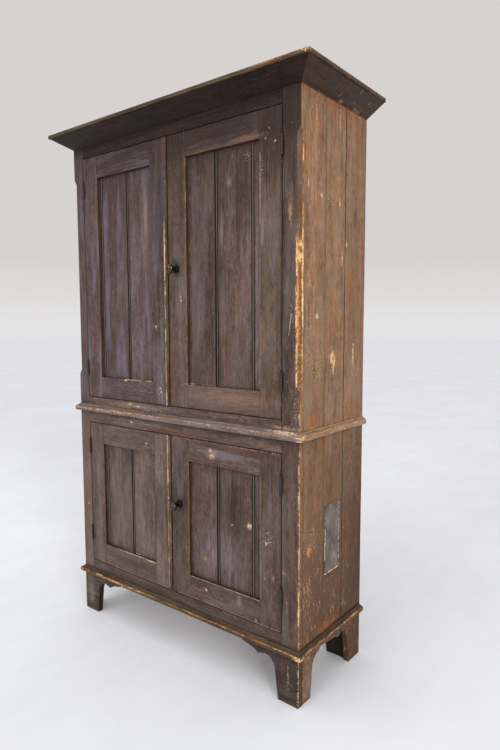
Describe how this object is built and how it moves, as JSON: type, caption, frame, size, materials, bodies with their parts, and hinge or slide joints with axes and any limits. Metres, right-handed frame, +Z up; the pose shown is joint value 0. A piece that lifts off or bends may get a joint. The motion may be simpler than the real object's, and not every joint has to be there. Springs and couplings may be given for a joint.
{
  "type": "jelly cupboard",
  "caption": "Tall painted pine cupboard with panelled doors in an upper and a lower stage, boarded sides, splayed cornice, planted mouldings and scalloped bracket feet.",
  "frame": {"origin": "on the floor, under the middle of the whole object's box", "axes": "+Z up; +Y towards the back, so the doors face -Y; +X to the right of someone facing the doors"},
  "size_m": [1.313, 0.509, 2.1],
  "materials": {
    "front_paint": "worn dark brown oil paint on pine",
    "side_paint": "thin, worn brown paint on pine boards",
    "worn_paint": "brown paint rubbed through to the wood",
    "bare_wood": "bare, aged pine",
    "iron": "dark, rubbed iron",
    "zinc": "dull zinc sheet"
  },
  "bodies": {
    "case": {"side_left": "side_paint", "side_right": "side_paint", "stile_left": "front_paint", "stile_right": "front_paint", "frieze_rail": "front_paint", "waist_rail": "front_paint", "base_rail": "front_paint", "front_bracket": "front_paint", "rear_bracket": "bare_wood", "back_boards": "bare_wood", "top_board": "worn_paint", "cornice_front": "front_paint", "cornice_left": "front_paint", "cornice_right": "front_paint", "waist_moulding": "worn_paint", "base_moulding": "worn_paint", "floor_board": "bare_wood", "deck_board": "bare_wood", "shelf_lower": "bare_wood", "shelf_upper_low": "bare_wood", "shelf_upper_high": "bare_wood", "side_patch": "zinc", "upper_left_top_hinge_case_leaf": "iron", "upper_left_bottom_hinge_case_leaf": "iron", "upper_right_top_hinge_case_leaf": "iron", "upper_right_bottom_hinge_case_leaf": "iron", "lower_left_top_hinge_case_leaf": "iron", "lower_left_bottom_hinge_case_leaf": "iron", "lower_right_top_hinge_case_leaf": "iron", "lower_right_bottom_hinge_case_leaf": "iron"},
    "door_upper_left": {"upper_left_hinge_stile": "front_paint", "upper_left_meeting_stile": "front_paint", "upper_left_top_rail": "front_paint", "upper_left_bottom_rail": "front_paint", "upper_left_panel": "front_paint", "upper_left_top_hinge_door_leaf": "iron", "upper_left_bottom_hinge_door_leaf": "iron"},
    "door_upper_right": {"upper_right_hinge_stile": "front_paint", "upper_right_meeting_stile": "front_paint", "upper_right_top_rail": "front_paint", "upper_right_bottom_rail": "front_paint", "upper_right_panel": "front_paint", "upper_right_top_hinge_door_leaf": "iron", "upper_right_bottom_hinge_door_leaf": "iron"},
    "door_lower_left": {"lower_left_hinge_stile": "front_paint", "lower_left_meeting_stile": "front_paint", "lower_left_top_rail": "front_paint", "lower_left_bottom_rail": "front_paint", "lower_left_panel": "front_paint", "lower_left_top_hinge_door_leaf": "iron", "lower_left_bottom_hinge_door_leaf": "iron"},
    "door_lower_right": {"lower_right_hinge_stile": "front_paint", "lower_right_meeting_stile": "front_paint", "lower_right_top_rail": "front_paint", "lower_right_bottom_rail": "front_paint", "lower_right_panel": "front_paint", "lower_right_top_hinge_door_leaf": "iron", "lower_right_bottom_hinge_door_leaf": "iron"},
    "latch_upper": {"upper_knob": "iron"},
    "latch_lower": {"lower_knob": "iron"}
  },
  "joints": [
    {"name": "upper_left_door_swing", "type": "hinge", "parent": "case", "child": "door_upper_left", "pos_m": [-0.5193, -0.1835, 1.4895], "axis": [0, 0, -1], "range_deg": [0, 180]},
    {"name": "upper_right_door_swing", "type": "hinge", "parent": "case", "child": "door_upper_right", "pos_m": [0.5113, -0.1835, 1.4895], "axis": [0, 0, 1], "range_deg": [0, 180]},
    {"name": "lower_left_door_swing", "type": "hinge", "parent": "case", "child": "door_lower_left", "pos_m": [-0.5193, -0.1835, 0.558], "axis": [0, 0, -1], "range_deg": [0, 180]},
    {"name": "lower_right_door_swing", "type": "hinge", "parent": "case", "child": "door_lower_right", "pos_m": [0.5113, -0.1835, 0.558], "axis": [0, 0, 1], "range_deg": [0, 180]},
    {"name": "upper_knob_turn", "type": "hinge", "parent": "door_upper_right", "child": "latch_upper", "pos_m": [0.03, -0.1805, 1.504], "axis": [0, 1, 0], "range_deg": [0, 90]},
    {"name": "lower_knob_turn", "type": "hinge", "parent": "door_lower_right", "child": "latch_lower", "pos_m": [0.03, -0.1805, 0.606], "axis": [0, 1, 0], "range_deg": [0, 90]}
  ]
}
